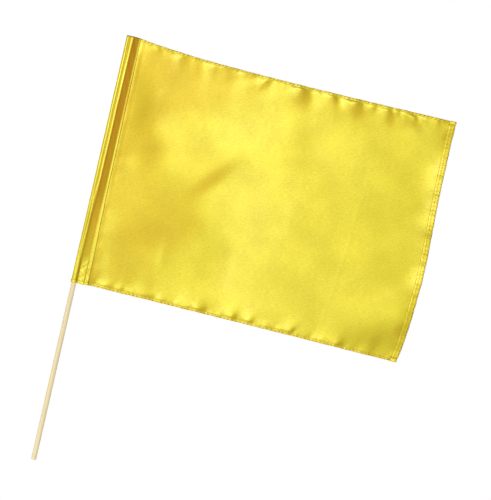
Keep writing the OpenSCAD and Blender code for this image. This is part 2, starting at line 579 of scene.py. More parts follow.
@dataclass
class ClothLie:
    """Where every point of the flat cloth lies: its outline, broad leans, gathers and creases.

    A point of the flat cloth is (a, b): a is its distance from the stick's axis and b its distance
    from the bottom edge.
    """

    start: float
    width: float
    bottom: float
    top: float
    crease: float
    drape: Drape
    top_gathers: tuple[Pucker, ...]
    bottom_gathers: tuple[Pucker, ...]
    hem_stitch: float = 1.8
    fly_stitch: float = 4.6
    top_dip: float = 9.3
    top_fall: float = 4.2
    bottom_fall: float = 8.0
    fly_belly: float = 3.0
    corner_tuck: float = 7.0
    sag_across: float = 5.6
    sag_down: float = 3.4

    @property
    def height(self) -> float:
        """Height of the flat cloth along the stick."""
        return self.top - self.bottom

    def share(self, a: Array) -> Array:
        """How far along the cloth a point is, 0 at the sleeve and 1 at the fly edge."""
        return np.clip((a - self.start) / (self.width - self.start), 0, 1)

    def top_edge(self, a: Array) -> Array:
        """Height of the top edge: it drops quickly beside the sleeve, then runs nearly straight."""
        s = self.share(a)
        return self.top - self.top_dip * (1 - np.exp(-5 * s)) - self.top_fall * s

    def bottom_edge(self, a: Array) -> Array:
        """Height of the bottom edge: it droops evenly towards the fly."""
        return self.bottom - self.bottom_fall * self.share(a)

    def fly_edge_shift(self, t: Array) -> Array:
        """How far the fly edge stands out at a share t of its height: a belly and a tucked corner."""
        belly = self.fly_belly * np.exp(-(((t - 0.4) / 0.2) ** 2))
        return belly - self.corner_tuck * np.exp(-np.maximum(t, 0) / 0.08)

    def level(self, a: Array, b: Array) -> Array:
        """Height up the stick of a point of the flat cloth, between its two edges."""
        low = self.bottom_edge(a)
        return low + b / self.height * (self.top_edge(a) - low)

    def gathers(self, along: Array, depth: Array, puckers: Sequence[Pucker], seed: int) -> Array:
        """Gathers along a hem whose thread is a little tight.

        Args:
            along: place along the hem.
            depth: distance from the seam into the cloth.
            puckers: the larger gathers.
            seed: seed of the small ones between them.

        Returns:
            Height of the cloth in front of its rest plane.
        """
        inside = np.maximum(depth, 0)
        fine = 0.12 * Ripple(2.1, seed).value(along + 0.5 * inside) * np.exp(-inside / 2.2)
        middle = 0.3 * Ripple(5.5, seed + 1).value(along - 0.3 * inside) * np.exp(-((inside / 5.5) ** 1.5))
        broad = 0.5 * Ripple(13.0, seed + 2).value(along) * np.exp(-((inside / 15.0) ** 1.5))
        return sum((p.height(along, depth) for p in puckers), fine + middle + broad)

    def lift(self, a: Array, b: Array) -> Array:
        """Height of the cloth in front of its rest plane."""
        t = b / self.height
        z = self.level(a, b)
        s = self.share(a)
        at_seam = self.drape.height(np.full_like(a, self.start), self.bottom + b)
        total = self.drape.height(a, z) - at_seam * np.exp(-(((a - self.start) / 80.0) ** 2))
        total = total - 4 * self.sag_across * s * (1 - s) - 4 * self.sag_down * smooth(3 * s) * t * (1 - t)
        total = total + self.gathers(a, self.height - b - self.hem_stitch, self.top_gathers, 11)
        total = total + self.gathers(a, b - self.hem_stitch, self.bottom_gathers, 41)
        fly_depth = self.width - a - self.fly_stitch
        total = total + 0.8 * self.gathers(b + 900.0, fly_depth, (), 71)
        beside_sleeve = np.exp(-((np.maximum(a - self.start, 0) / 11.0) ** 2))
        total = total + 0.22 * Ripple(9.0, 91).value(b) * beside_sleeve
        crease = a - self.crease - 0.085 * (z - 330.0)
        total = total + 0.05 * np.exp(-np.abs(crease) / 1.1) * smooth((440 - z) / 40) * smooth((z - 205) / 20)
        return total * smooth((a - self.start - 1.0) / 7.0)

    @staticmethod
    def shade_beside_sleeve(b: Array) -> Array:
        """How much painted shade falls beside the sleeve, from 0 to 1, by distance from the bottom."""
        return np.exp(-(((b - 222.0) / 32.0) ** 2))

    @staticmethod
    def facing(points: Array) -> Array:
        """How steeply each point of a grid leans up and to the left, as a slope."""
        across, up = np.gradient(points, axis=1), np.gradient(points, axis=0)
        normal = np.cross(across, up)
        normal /= np.linalg.norm(normal, axis=2, keepdims=True)
        return UPHILL[0] * normal[..., 0] + UPHILL[1] * normal[..., 2]

    def place(self, a: Array, b: Array, forward: Array | float = 0.0) -> Array:
        """Points of the cloth in the part's frame.

        Args:
            a: distance from the stick's axis on the flat cloth.
            b: distance from the bottom edge on the flat cloth.
            forward: extra distance in front of the cloth's front face.

        Returns:
            An array with three coordinates for each point.
        """
        t = b / self.height
        x = a + self.fly_edge_shift(t) * smooth((a - 0.55 * self.width) / (0.45 * self.width))
        y = -self.lift(a, b) - forward
        return np.stack(np.broadcast_arrays(x, y, self.level(a, b)), -1)


# --------------------------------------------------------------------------------------------
# The pieces
# --------------------------------------------------------------------------------------------


@dataclass
class Panel:
    """The single-ply body of the flag, from under the sleeve's flap to the folded edges."""

    lie: ClothLie
    thickness: float = 0.4
    edge_inset: float = 1.2
    columns: int = 330
    edge_rows: int = 26
    middle_rows: int = 74
    edge_band: float = 24.0

    def build(self) -> Piece:
        """Make the panel as one fine closed sheet."""
        band, height = self.edge_band, self.lie.height
        b = np.concatenate(
            [
                np.linspace(self.edge_inset, band, self.edge_rows, endpoint=False),
                np.linspace(band, height - band, self.middle_rows, endpoint=False),
                np.linspace(height - band, height - self.edge_inset, self.edge_rows),
            ]
        )
        a = np.linspace(self.lie.start, self.lie.width - self.edge_inset, self.columns)
        bb, aa = np.meshgrid(b, a, indexing="ij")
        front = self.lie.place(aa, bb)
        back = self.lie.place(aa, bb, -self.thickness)
        # Painted shade: the colour is darkened where the cloth slopes away from the key light, and in a band
        # beside the sleeve.
        turned_away = -self.lie.facing(front)
        beside_sleeve = np.exp(-(((aa - self.lie.start) / 9.0) ** 2)) * self.lie.shade_beside_sleeve(bb)
        shade = np.maximum(0.3 * smooth((turned_away - 0.01) / 0.08), 0.55 * beside_sleeve)
        return thick_sheet("flag_panel", front, back, np.stack([aa, bb], -1) * MM, shade)


@dataclass
class Hem:
    """A narrow double hem turned to the front along one edge, puffed between its stitches."""

    name: str
    lie: ClothLie
    width: float
    stitch: float
    run: tuple[float, float]
    to_flat: Callable[[Array, Array], tuple[Array, Array]]
    stitch_pitch: float = 4.7
    step: float = 0.9
    extra_lift: Callable[[Array], Array] | None = None

    def profile(self) -> Array:
        """Cross-section of the hem: distance in from the edge, and height over the front face."""
        w, s = self.width, self.stitch
        points = [
            (w + 0.2, -0.08),
            (w - 0.25 * (w - s), 0.13),
            (w - 0.55 * (w - s), 0.2),
            (s + 0.35, 0.21),
            (s, 0.18),
            (s - 0.35, 0.22),
            (0.6 * s, 0.25),
            (0.36 * s, 0.26),
            (0.16 * s, 0.22),
            (0.05 * s, 0.12),
            (0.0, -0.03),
            (0.1, -0.25),
            (0.6, -0.44),
            (1.3, -0.43),
            (1.3, -0.08),
        ]
        return np.array(points)

    def build(self) -> Piece:
        """Sweep the cross-section along the edge, pinched at each stitch."""
        start, end = self.run
        along = np.linspace(start, end, int((end - start) / self.step) + 1)
        profile = self.profile()
        inward, height = profile[:, 0][None, :], profile[:, 1][None, :]
        u = along[:, None] + 0 * inward
        phase = np.cos(2 * np.pi * along / self.stitch_pitch)[:, None]
        near_stitch = np.exp(-(((inward - self.stitch) / 1.2) ** 2))
        on_front = (height > 0.1).astype(float)
        puff = 1 + on_front * (0.14 * Ripple(4.6, 5).value(u) - 0.05 * phase)
        pinch = -0.07 * phase * near_stitch * on_front
        scallop = (0.3 * (1 + phase) + 0.2 * Ripple(6.0, 6).value(u)) * np.exp(-inward / 1.2)
        forward = height * puff + pinch
        if self.extra_lift is not None:
            forward = forward + self.extra_lift(u)
        a, b = self.to_flat(u, inward + scallop)
        # Painted shadow: a dark mark on the folded edge at each stitch, where the pinched edge falls into
        # shade.
        shade = smooth((phase - 0.3) / 0.3) * np.exp(-((inward / 1.5) ** 4))
        return swept_solid(self.name, self.lie.place(a, b, forward), np.stack([a, b], -1) * MM, shade)


@dataclass(frozen=True)
class Section:
    """Cross-section of the sleeve at one height, given by the places where its plies turn.

    The pleat is the ridge that the pull of the cloth raises over the stick. Fall lists the points
    from the seam up to it, the brow is its other side, and the crown the groove beyond that.
    """

    z: float
    edge: float
    stitch: float
    fall: tuple[tuple[float, float], ...]
    pleat: tuple[float, float]
    brow: tuple[float, float]
    crown: tuple[float, float]

    def points(self, seam_end: float) -> Array:
        """Middle line of the ply, from the turned allowance round the stick to the back seam."""
        shoulder = -0.5 - 0.6 * abs(self.crown[0])
        return np.array(
            [
                (self.edge - 3.2, -0.24),
                (self.edge - 0.9, -0.24),
                (self.edge, -0.52),
                (self.edge - 0.8, -0.86),
                (self.stitch, -0.66),
                *self.fall,
                self.pleat,
                self.brow,
                self.crown,
                (shoulder, -3.46),
                (-2.35, -3.2),
                (-3.15, -2.35),
                (-3.42, -0.1),
                (-2.6, 2.3),
                (-0.2, 3.45),
                (3.4, 2.95),
                (7.4, 1.55),
                (9.6, 0.55),
                (seam_end, 0.2),
            ]
        )


@dataclass
class Sleeve:
    """The ply folded round the stick and sewn down to the front, with its edge turned under."""

    bottom: float
    top: float
    tip: float
    seam_end: float
    girth: float
    thickness: float = 0.4
    samples: int = 150
    step: float = 1.25
    closing: float = 3.0

    def sections(self) -> list[Section]:
        """The sleeve's shape from its mouth, where the flap lies flat, to its closed end."""
        low, high = self.bottom, self.top
        flat = ((10.8, -1.12), (7.2, -1.08), (3.6, -0.98))
        soft = ((9.4, -1.05), (6.0, -1.75), (3.4, -2.45))
        deep = ((11.0, -0.95), (8.0, -1.95), (4.9, -2.95))
        tall = ((11.0, -0.95), (8.6, -1.9), (6.1, -2.9))
        return [
            Section(low, 16.2, 12.0, flat, (1.4, -3.2), (0.7, -3.5), (0.0, -3.52)),
            Section(low + 20, 16.2, 12.0, flat, (1.5, -3.25), (0.8, -3.52), (0.0, -3.52)),
            Section(low + 36, 16.0, 11.9, soft, (1.5, -3.45), (0.4, -3.56), (-0.3, -3.35)),
            Section(low + 75, 15.2, 11.8, soft, (2.0, -3.6), (0.6, -3.54), (-0.3, -3.15)),
            Section(low + 125, 14.4, 12.1, deep, (3.4, -3.72), (1.6, -3.6), (0.4, -3.1)),
            Section(high - 45, 13.6, 12.2, deep, (4.0, -3.74), (1.9, -3.6), (0.6, -3.05)),
            Section(high, 13.2, 12.2, tall, (4.6, -3.76), (2.6, -3.64), (0.9, -3.0)),
        ]

    def outline(self, z: Array) -> Array:
        """Cross-sections at heights z, as rows of points in X and Y."""
        stations = self.sections()
        levels = np.array([s.z for s in stations])
        shapes = np.stack([spline(s.points(self.seam_end), self.samples) for s in stations])
        i = np.clip(np.searchsorted(levels, z, side="right") - 1, 0, len(levels) - 2)
        t = smooth((z - levels[i]) / (levels[i + 1] - levels[i]))[:, None, None]
        return shapes[i] * (1 - t) + shapes[i + 1] * t

    def middle(self, z: Array) -> Array:
        """Middle of the ply at heights z, with its small unevenness and its closed end."""
        shape = self.outline(z)
        x, y = shape[..., 0], shape[..., 1]
        zz = np.broadcast_to(z[:, None], x.shape)
        on_front = smooth(-y / 1.2) * smooth((x + 3.4) / 1.5)
        slack = smooth((11.5 - x) / 3.0)
        x = x + on_front * slack * (0.3 * Ripple(26.0, 3).value(zz) + 0.1 * Ripple(7.0, 4).value(zz))
        y = y - on_front * slack * 0.05 * Ripple(16.0, 8).value(zz + 1.0 * x)
        # Near the mouth the flap is flattened and creased on the slant.
        creased = smooth((self.bottom + 32 - zz) / 12) * smooth((x - 3.5) / 2) * smooth(-y / 0.6)
        y = y - 0.13 * creased * (Ripple(2.2, 21).value(zz + 0.9 * x) + Ripple(2.6, 22).value(zz - 1.1 * x))
        # The end closes over the tip of the stick.
        shut = np.clip((zz - self.tip) / self.closing, 0, 1)
        y = y * np.sqrt(np.maximum(1 - 0.93 * shut**1.6, 0.01))
        return np.stack([x, y, zz], -1)

    def build(self) -> Piece:
        """Make the sleeve as one folded closed sheet."""
        z = np.linspace(self.bottom, self.top, int((self.top - self.bottom) / self.step) + 1)
        line = self.middle(z)
        inner, outer = offset_both_ways(line, self.thickness / 2)
        girth = np.linspace(0, self.girth, self.samples)
        across = np.broadcast_to(-girth[None, :], line.shape[:2])
        uv = np.stack([across, line[..., 2] - self.bottom], -1) * MM
        return thick_sheet("sleeve_wrap", outer, inner, uv, self.shade(line))

    def shade(self, line: Array) -> Array:
        """How much painted shade each point gets: in the trough from the pleat to the seam, beside the stick
        near the mouth, in the groove over the stick, and on the flat past the seam.
        """
        stations = self.sections()
        levels = [s.z for s in stations]
        z = line[:, :1, 2]
        pleat = np.interp(z, levels, [s.pleat[0] for s in stations])
        seam = np.interp(z, levels, [s.stitch for s in stations])
        flat = smooth((z - self.bottom - 22) / 14)
        depth = np.interp(z, levels, [0.1, 0.15, 0.4, 0.6, 0.85, 0.95, 0.95]) * (0.25 + 0.75 * flat)
        x = line[..., 0]
        inside = smooth((x - pleat - 0.1) / 0.8) * smooth((seam - 0.1 - x) / 1.1)
        shade_beside_stick = (1 - flat) * smooth((x - pleat) / 0.5) * smooth((pleat + 2.4 - x) / 0.8)
        uneven = 0.9 + 0.1 * Ripple(5.0, 33).value(z + 3.0 * x) - 0.12 * smooth((x - pleat - 2.5) / 4.0)
        groove = np.interp(z, levels, [s.crown[0] for s in stations])
        # The groove over the stick gets painted shade as well.
        crown = 0.5 * depth * smooth((x - groove + 1.3) / 0.8) * smooth((groove + 1.0 - x) / 0.8)
        flap_shade = 0.5 * ClothLie.shade_beside_sleeve(z - self.bottom) * smooth((x - 11.5) / 1.0)
        trough_shade = uneven * (depth * inside + 0.6 * shade_beside_stick)
        return np.maximum(trough_shade + crown, flap_shade) * (line[..., 1] < -0.7)

    def mouth_hem(self) -> Piece:
        """Make the narrow turned hem that runs round the mouth."""
        around = self.middle(np.array([self.bottom, self.bottom + 0.5]))[0]
        around = around[int(0.06 * self.samples) :]
        ahead = np.gradient(around[:, :2], axis=0)
        ahead /= np.linalg.norm(ahead, axis=1, keepdims=True)
        outward = np.stack([-ahead[:, 1], ahead[:, 0]], -1)
        if (outward[len(outward) // 2] * around[len(around) // 2, :2]).sum() < 0:
            outward = -outward
        profile = np.array(
            [
                (0.1, 3.4),
                (0.5, 3.35),
                (0.62, 2.7),
                (0.48, 1.9),
                (0.7, 1.1),
                (0.72, 0.35),
                (0.4, -0.2),
                (0.0, -0.35),
                (-0.35, -0.1),
                (-0.35, 0.7),
                (0.05, 0.7),
            ]
        )
        length = np.concatenate([[0], np.cumsum(np.linalg.norm(np.diff(around[:, :2], axis=0), axis=1))])
        puff = 1 + 0.25 * Ripple(2.6, 15).value(length)
        out = profile[None, :, 0] * np.where(profile[None, :, 0] > 0.2, puff[:, None], 1.0)
        x = around[:, 0][:, None] + outward[:, 0][:, None] * out
        y = around[:, 1][:, None] + outward[:, 1][:, None] * out
        z = self.bottom + profile[None, :, 1] + 0.2 * Ripple(3.1, 16).value(length)[:, None]
        z = np.broadcast_to(z, x.shape)
        uv = np.stack([np.broadcast_to(length[:, None], x.shape), z - self.bottom], -1) * MM
        return swept_solid("sleeve_mouth_roll", np.stack([x, y, z], -1), uv)

    def top_roll(self) -> Piece:
        """Make the roll of cloth folded over and sewn across the closed end."""
        x = np.linspace(-3.3, 13.6, 86)
        angle = np.linspace(0, 2 * math.pi, 18, endpoint=False)
        bulge = 1 + 0.22 * Ripple(2.4, 31).value(x) - 0.12 * np.cos(2 * math.pi * x / 3.2)
        taper = np.sqrt(np.clip(1 - ((x - 5.15) / 8.6) ** 6, 0.02, 1))
        half = (0.95 * bulge * taper)[:, None]
        y = half * np.cos(angle)[None, :] - 0.1
        z = self.top - 0.75 + 1.1 * (bulge * taper)[:, None] * np.sin(angle)[None, :] * 0.95
        xx = np.broadcast_to(x[:, None], y.shape)
        uv = np.stack([xx, np.broadcast_to(angle[None, :] * 0.9, y.shape)], -1) * MM
        return swept_solid("sleeve_top_roll", np.stack([xx, y, z], -1), uv)

    def wad(self, radius: float, low: float, high: float) -> Piece:
        """Make the cloth bunched up inside the closed end, on the tip of the stick."""
        levels = np.array([0.0, 0.04, 0.2, 0.5, 0.8, 0.96, 1.0])
        spread = np.array([0.55, 0.86, 0.97, 1.0, 0.96, 0.84, 0.5])
        angle = np.linspace(0, 2 * math.pi, 48, endpoint=False)
        crumple = 1 - 0.09 * (1 + Ripple(0.55, 61).value(angle + 9)) * np.abs(np.sin(3.5 * angle))
        r = radius * spread[:, None] * crumple[None, :]
        z = np.broadcast_to((low + levels * (high - low))[:, None], r.shape)
        rings = np.stack([r * np.cos(angle), r * np.sin(angle), z], -1)
        uv = np.stack([np.broadcast_to(angle * radius, r.shape), z - low], -1) * MM
        return swept_solid("sleeve_end_wad", rings, uv)


@dataclass
class Stick:
    """The plain round dowel, made by a rule: a straight line swept by a slightly uneven circle."""

    length: float
    birch: Material
    radius: float = 3.0
    edge: float = 0.4
    grain_depth: float = 0.06

    def tree(self) -> Tree:
        """Geometry nodes that sweep the dowel."""
        tree, given = new_tree(
            "dowel", Radius="Float", Length="Float", Edge="Float", Grain_Depth="Float", Finish="Material"
        )
        length, edge = given["Length"], given["Edge"]
        top = add_node(tree, "ShaderNodeCombineXYZ", Z=length)
        line = add_node(tree, "GeometryNodeCurvePrimitiveLine", End=top)
        line = add_node(tree, "GeometryNodeResampleCurve", Curve=line, Count=500)
        place = add_node(tree, "GeometryNodeInputPosition")
        height = add_node(tree, "ShaderNodeSeparateXYZ", output="Z", Vector=place)
        # Distance to the nearer end decides how far the sanded edge is rounded.
        nearer = maths(tree, "MINIMUM", height, maths(tree, "SUBTRACT", length, height))
        share = maths(tree, "MINIMUM", maths(tree, "DIVIDE", nearer, edge), 1.0)
        squared = maths(tree, "POWER", maths(tree, "SUBTRACT", 1.0, share), 2.0)
        here = maths(tree, "SUBTRACT", given["Radius"], maths(tree, "MULTIPLY", squared, edge))
        ring = add_node(tree, "GeometryNodeCurvePrimitiveCircle", Resolution=48, Radius=1.0)
        swept = add_node(
            tree, "GeometryNodeCurveToMesh", Curve=line, Profile_Curve=ring, Scale=here, Fill_Caps=True
        )
        # The grain stands out a little from the surface, in streaks along the stick.
        times = {"operation": "MULTIPLY"}
        streaks = add_node(tree, "ShaderNodeVectorMath", times, i0=place, i1=(900, 900, 6))
        grain = maths(tree, "SUBTRACT", noise(tree, streaks, 1.0, 2.0), 0.5)
        depth = maths(tree, "MULTIPLY", grain, given["Grain Depth"])
        outwards = add_node(tree, "ShaderNodeVectorMath", times, i0=place, i1=(1, 1, 0))
        unit = add_node(tree, "ShaderNodeVectorMath", {"operation": "NORMALIZE"}, i0=outwards)
        move = add_node(tree, "ShaderNodeVectorMath", {"operation": "SCALE"}, i0=unit, Scale=depth)
        grained = add_node(tree, "GeometryNodeSetPosition", Geometry=swept, Offset=move)
        dressed = add_node(tree, "GeometryNodeSetMaterial", Geometry=grained, Material=given["Finish"])
        add_node(tree, "NodeGroupOutput", Geometry=dressed)
        return tree

    def build(self) -> Piece:
        """Make the dowel."""
        values = {
            "Radius": self.radius * MM,
            "Length": self.length * MM,
            "Edge": self.edge * MM,
            "Grain Depth": self.grain_depth * MM,
            "Finish": self.birch,
        }
        return grown("birch_stick", self.tree(), values)


def grown(name: str, tree: Tree, values: dict, source: Piece | None = None) -> Piece:
    """Run a geometry node tree and keep what it makes as a plain mesh.

    Args:
        name: the piece's name.
        tree: the geometry node tree.
        values: the modifier's inputs, by name.
        source: the object that the tree starts from, which is removed; none for an empty one.

    Returns:
        The plain mesh object.
    """
    carrier = source or link_mesh(name + "_maker", bpy.data.meshes.new(name + "_maker"))
    modifier = carrier.modifiers.new("maker", "NODES")
    modifier.node_group = tree
    for item in tree.interface.items_tree:
        if item.item_type == "SOCKET" and item.in_out == "INPUT" and item.name in values:
            modifier[item.identifier] = values[item.name]
    carrier.update_tag()
    bpy.context.view_layer.update()
    evaluated = carrier.evaluated_get(bpy.context.evaluated_depsgraph_get())
    mesh = bpy.data.meshes.new_from_object(evaluated)
    mesh.name = name
    bpy.data.objects.remove(carrier)
    return link_mesh(name, mesh)


class Face(Enum):
    """Face of the cloth on which a line of stitches lies, given by the direction it looks in."""

    FRONT = (0, -1, 0)
    BACK = (0, 1, 0)


@dataclass
class Seam:
    """One line of lockstitches, made by geometry nodes along a path: raised threads with gaps."""

    thread: Material
    pitch: float = 3.2
    stitch: float = 2.6
    diameter: float = 0.42
    rise: float = 0.3

    @cached_property
    def tree(self) -> Tree:
        """Geometry nodes that lay a stitch at every step of the path."""
        sizes = dict.fromkeys(("Pitch", "Stitch", "Diameter", "Rise"), "Float")
        tree, given = new_tree(
            "lockstitches", Geometry="Geometry", **sizes, Facing="Vector", Finish="Material"
        )
        path = add_node(tree, "GeometryNodeMeshToCurve", Mesh=given["Geometry"])
        steps = add_node(
            tree, "GeometryNodeResampleCurve", {"mode": "LENGTH"}, Curve=path, Length=given["Pitch"]
        )
        # One stitch: an arc that dives into the cloth at both ends.
        half = maths(tree, "MULTIPLY", given["Stitch"], 0.5)
        sunk = maths(tree, "MULTIPLY", given["Rise"], -0.6)
        high = maths(tree, "MULTIPLY", given["Rise"], 1.4)
        first = add_node(tree, "ShaderNodeCombineXYZ", X=maths(tree, "MULTIPLY", half, -1.0), Z=sunk)
        crest = add_node(tree, "ShaderNodeCombineXYZ", Z=high)
        last = add_node(tree, "ShaderNodeCombineXYZ", X=half, Z=sunk)
        arc = add_node(
            tree, "GeometryNodeCurveQuadraticBezier", Resolution=6, Start=first, Middle=crest, End=last
        )
        radius = maths(tree, "MULTIPLY", given["Diameter"], 0.5)
        ring = add_node(tree, "GeometryNodeCurvePrimitiveCircle", Resolution=6, Radius=radius)
        stitch = add_node(tree, "GeometryNodeCurveToMesh", Curve=arc, Profile_Curve=ring, Fill_Caps=True)
        align = "FunctionNodeAlignRotationToVector"
        along = add_node(tree, align, {"axis": "X"}, Vector=add_node(tree, "GeometryNodeInputTangent"))
        turn = add_node(tree, align, {"axis": "Z", "pivot_axis": "X"}, Rotation=along, Vector=given["Facing"])
        uneven = add_node(tree, "FunctionNodeRandomValue", {"data_type": "FLOAT"}, i2=0.88, i3=1.08, Seed=7)
        laid = add_node(
            tree, "GeometryNodeInstanceOnPoints", Points=steps, Instance=stitch, Rotation=turn, Scale=uneven
        )
        real = add_node(tree, "GeometryNodeRealizeInstances", Geometry=laid)
        dressed = add_node(tree, "GeometryNodeSetMaterial", Geometry=real, Material=given["Finish"])
        add_node(tree, "NodeGroupOutput", Geometry=dressed)
        return tree

    def build(self, name: str, path: Array, face: Face) -> Piece:
        """Sew one line.

        Args:
            name: the piece's name.
            path: n by 3 points of the seam on the face of the cloth, in millimetres.
            face: the face of the cloth.

        Returns:
            The line of stitches.
        """
        mesh = bpy.data.meshes.new(name + "_path")
        mesh.from_pydata((path * MM).tolist(), [(i, i + 1) for i in range(len(path) - 1)], [])
        values = {
            "Pitch": self.pitch * MM,
            "Stitch": self.stitch * MM,
            "Diameter": self.diameter * MM,
            "Rise": self.rise * MM,
            "Facing": face.value,
            "Finish": self.thread,
        }
        return grown(name, self.tree, values, link_mesh(name + "_path", mesh))


# --------------------------------------------------------------------------------------------
# Studio
# --------------------------------------------------------------------------------------------


@dataclass
class Studio:
    """Camera, soft lights, white surround and a pale floor."""

    centre: tuple[float, float, float] = (184.9, 0.0, 290.3)
    frame_height: float = 577.4
    lens: float = 100.0
    sensor: float = 36.0
    lean: float = 12.84
    floor_level: float = -560.0
    floor_radius: float = 1300.0
    surround: float = 0.32

    def camera(self) -> None:
        """Set the camera square to the cloth, turned so that the stick leans to the right."""
        distance = self.frame_height * self.lens / self.sensor
        data = bpy.data.cameras.new("camera")
        data.lens = self.lens
        data.sensor_width = self.sensor
        data.clip_end = 20.0
        cam = bpy.data.objects.new("camera", data)
        bpy.context.scene.collection.objects.link(cam)
        lean = math.radians(self.lean)
        right = Vector((math.cos(lean), 0, math.sin(lean)))
        up = Vector((-math.sin(lean), 0, math.cos(lean)))
        back = right.cross(up)
        turn = Matrix((right, up, back)).transposed().to_4x4()
        cam.matrix_world = Matrix.Translation(Vector(self.centre) * MM + back * distance * MM) @ turn
        bpy.context.scene.camera = cam

    def light(self, name: str, spot: tuple[float, float, float], size: float, watts: float) -> None:
        """Aim one soft box at the middle of the cloth.

        Args:
            name: the light's name.
            spot: where it stands, in millimetres.
            size: the side of the box, in millimetres.
            watts: its power.
        """
        data = bpy.data.lights.new(name, "AREA")
        data.shape = "SQUARE"
        data.size = size * MM
        data.energy = watts
        lamp = bpy.data.objects.new(name, data)
        bpy.context.scene.collection.objects.link(lamp)
        lamp.location = Vector(spot) * MM
        aim = Vector(self.centre) * MM - lamp.location
        lamp.rotation_euler = aim.to_track_quat("-Z", "Y").to_euler()

    def world(self) -> None:
        """White surround: full white to the camera, softer as a source of light."""
        world = bpy.data.worlds.new("surround")
        world.use_nodes = True
        bpy.context.scene.world = world
        tree = world.node_tree
        tree.nodes.clear()
        white = (1, 1, 1, 1)
        seen = add_node(tree, "ShaderNodeBackground", Color=white, Strength=1.0)
        lit = add_node(tree, "ShaderNodeBackground", Color=white, Strength=self.surround)
        ray = add_node(tree, "ShaderNodeLightPath", output="Is Camera Ray")
        both = add_node(tree, "ShaderNodeMixShader", i0=ray, i1=lit, i2=seen)
        add_node(tree, "ShaderNodeOutputWorld", Surface=both)

    def floor(self) -> None:
        """A round pale floor, well below the flag."""
        spot = (self.centre[0] * MM, 0, self.floor_level * MM)
        bpy.ops.mesh.primitive_circle_add(
            vertices=96, radius=self.floor_radius * MM, fill_type="NGON", location=spot
        )
        floor = bpy.context.object
        floor.name = "floor"
        floor.data.materials.append(StudioPaper().build())

    def build(self) -> None:
        """Set the whole studio."""
        bpy.context.scene.view_settings.view_transform = "Standard"
        self.camera()
        self.world()
        self.floor()
        self.light("key_box", (-480, -2650, 820), 800, 34)
        self.light("fill_box", (-700, -1500, -900), 1400, 8)
        self.light("back_box", (900, 2500, 900), 900, 42)
        self.light("back_fill_box", (-1400, 1900, 300), 1300, 16)


# --------------------------------------------------------------------------------------------
# The flag
# --------------------------------------------------------------------------------------------


